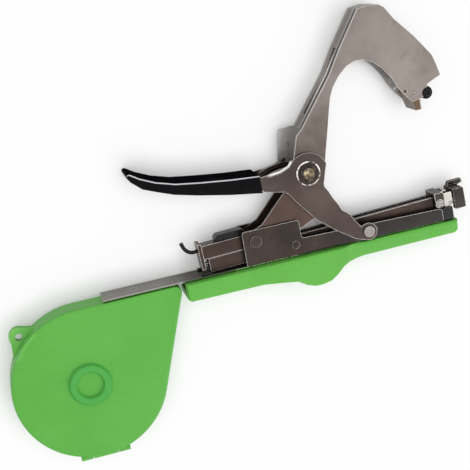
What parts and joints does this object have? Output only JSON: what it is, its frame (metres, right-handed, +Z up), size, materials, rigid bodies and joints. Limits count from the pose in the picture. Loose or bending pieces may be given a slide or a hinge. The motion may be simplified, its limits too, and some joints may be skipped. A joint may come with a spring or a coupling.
{
  "type": "plant tying tool",
  "caption": "Hand-held tying tool: squeezing the lever closes a hooked arm on a staple magazine to cut and staple tape from a reel case",
  "frame": {"origin": "centre of the round flat foot under the tape case, on the reel's axis: the tool lies on its side", "axes": "+X along the frame from the tape case to the nose, +Y from the grip to the hook, +Z up through the tool's thickness to the side that the picture shows"},
  "size_m": [0.2767, 0.217, 0.0247],
  "materials": {
    "case_green": "moulded green plastic with a soft gloss",
    "grip_green": "moulded green plastic, slightly lighter",
    "hook_steel": "plated sheet steel with a warm grey shine",
    "frame_steel": "plated sheet steel, brownish and darker",
    "bright_steel": "bright turned or plated steel",
    "spring_steel": "dark spring steel",
    "black_plastic": "glossy black plastic and dipped vinyl",
    "brass": "yellow plated die block",
    "core_board": "wound card",
    "tape_green": "thin green plastic tape on a roll"
  },
  "bodies": {
    "frame": {"main_frame": "frame_steel", "grip": "grip_green", "case_shell": "case_green", "case_screw_1": "bright_steel", "case_screw_2": "bright_steel", "rear_pivot_pin": "bright_steel", "leg_rivet_near": "bright_steel", "leg_rivet_far": "bright_steel", "magazine_pivot_near": "bright_steel", "magazine_pivot_far": "bright_steel", "end_guide": "black_plastic", "driver_blade": "bright_steel", "driver_rivet": "bright_steel", "guide_rivet": "bright_steel", "magazine_spring": "spring_steel", "hinge_pin": "bright_steel"},
    "cover": {"case_cover": "case_green"},
    "reel": {"tape_core": "core_board", "tape_roll": "tape_green"},
    "arm": {"hook_channel": "hook_steel", "arm_leg_near": "hook_steel", "arm_leg_far": "hook_steel", "arm_rivet_near_1": "bright_steel", "arm_rivet_near_2": "bright_steel", "arm_rivet_far_1": "bright_steel", "arm_rivet_far_2": "bright_steel", "clincher": "brass", "clincher_rivet": "hook_steel", "cutter_blade": "bright_steel", "cutter_screw": "spring_steel", "roller_pin": "bright_steel"},
    "roller": {"tape_roller": "black_plastic"},
    "lever": {"lever": "frame_steel", "lever_grip": "black_plastic", "main_rivet": "bright_steel", "rivet_washer_near": "hook_steel", "rivet_washer_far": "hook_steel", "return_spring": "spring_steel"},
    "magazine": {"magazine": "frame_steel", "staple_stick": "bright_steel", "magazine_nose": "frame_steel", "nose_screw_near": "bright_steel", "nose_screw_far": "bright_steel", "holder_pin": "bright_steel"},
    "holder": {"tape_holder": "spring_steel"},
    "pusher": {"pusher_cap": "frame_steel", "pusher_pad": "black_plastic", "pusher_pull": "black_plastic", "pusher_rod": "bright_steel", "pusher_spring": "spring_steel"},
    "follower": {"follower": "hook_steel"}
  },
  "joints": [
    {"name": "cover_hinge", "type": "hinge", "parent": "frame", "child": "cover", "pos_m": [0, -0.0429, 0.016], "axis": [1, 0, 0], "range_deg": [0, 115]},
    {"name": "reel_spin", "type": "hinge", "parent": "frame", "child": "reel", "pos_m": [0, 0, 0.012], "axis": [0, 0, 1], "continuous": true},
    {"name": "lever_hinge", "type": "hinge", "parent": "frame", "child": "lever", "pos_m": [0.17, 0.0487, 0.012], "axis": [0, 0, 1], "range_deg": [0, 16], "stiffness_Nm_per_rad": 1.5, "springref_deg": -20.05, "deforming": ["return_spring"]},
    {"name": "arm_hinge", "type": "hinge", "parent": "frame", "child": "arm", "pos_m": [0.1055, 0.0577, 0.012], "axis": [0, 0, 1], "range_deg": [-24, 0]},
    {"name": "magazine_hinge", "type": "hinge", "parent": "frame", "child": "magazine", "pos_m": [0.1275, 0.0507, 0.012], "axis": [0, 0, 1], "range_deg": [-2.4, 0], "stiffness_Nm_per_rad": 1.5, "springref_deg": 14.32, "deforming": ["magazine_spring"]},
    {"name": "holder_hinge", "type": "hinge", "parent": "magazine", "child": "holder", "pos_m": [0.22117, 0.05313, 0.012], "axis": [0, 0, 1], "range_deg": [-8, 0], "stiffness_Nm_per_rad": 0.05, "springref_deg": 17.19},
    {"name": "pusher_slide", "type": "slide", "parent": "magazine", "child": "pusher", "axis": [-0.9993, -0.0366, 0], "range_m": [0, 0.07]},
    {"name": "follower_slide", "type": "slide", "parent": "pusher", "child": "follower", "axis": [-0.9993, -0.0366, 0], "range_m": [0, 0.012], "stiffness_N_per_m": 60, "springref_m": -0.03, "deforming": ["pusher_spring"]},
    {"name": "roller_spin", "type": "hinge", "parent": "arm", "child": "roller", "pos_m": [0.2162, 0.1183, 0.012], "axis": [0, 0, 1], "continuous": true}
  ],
  "couplings": [
    {"joint": "arm_hinge", "follows": "lever_hinge", "ratio": -1.5}
  ]
}
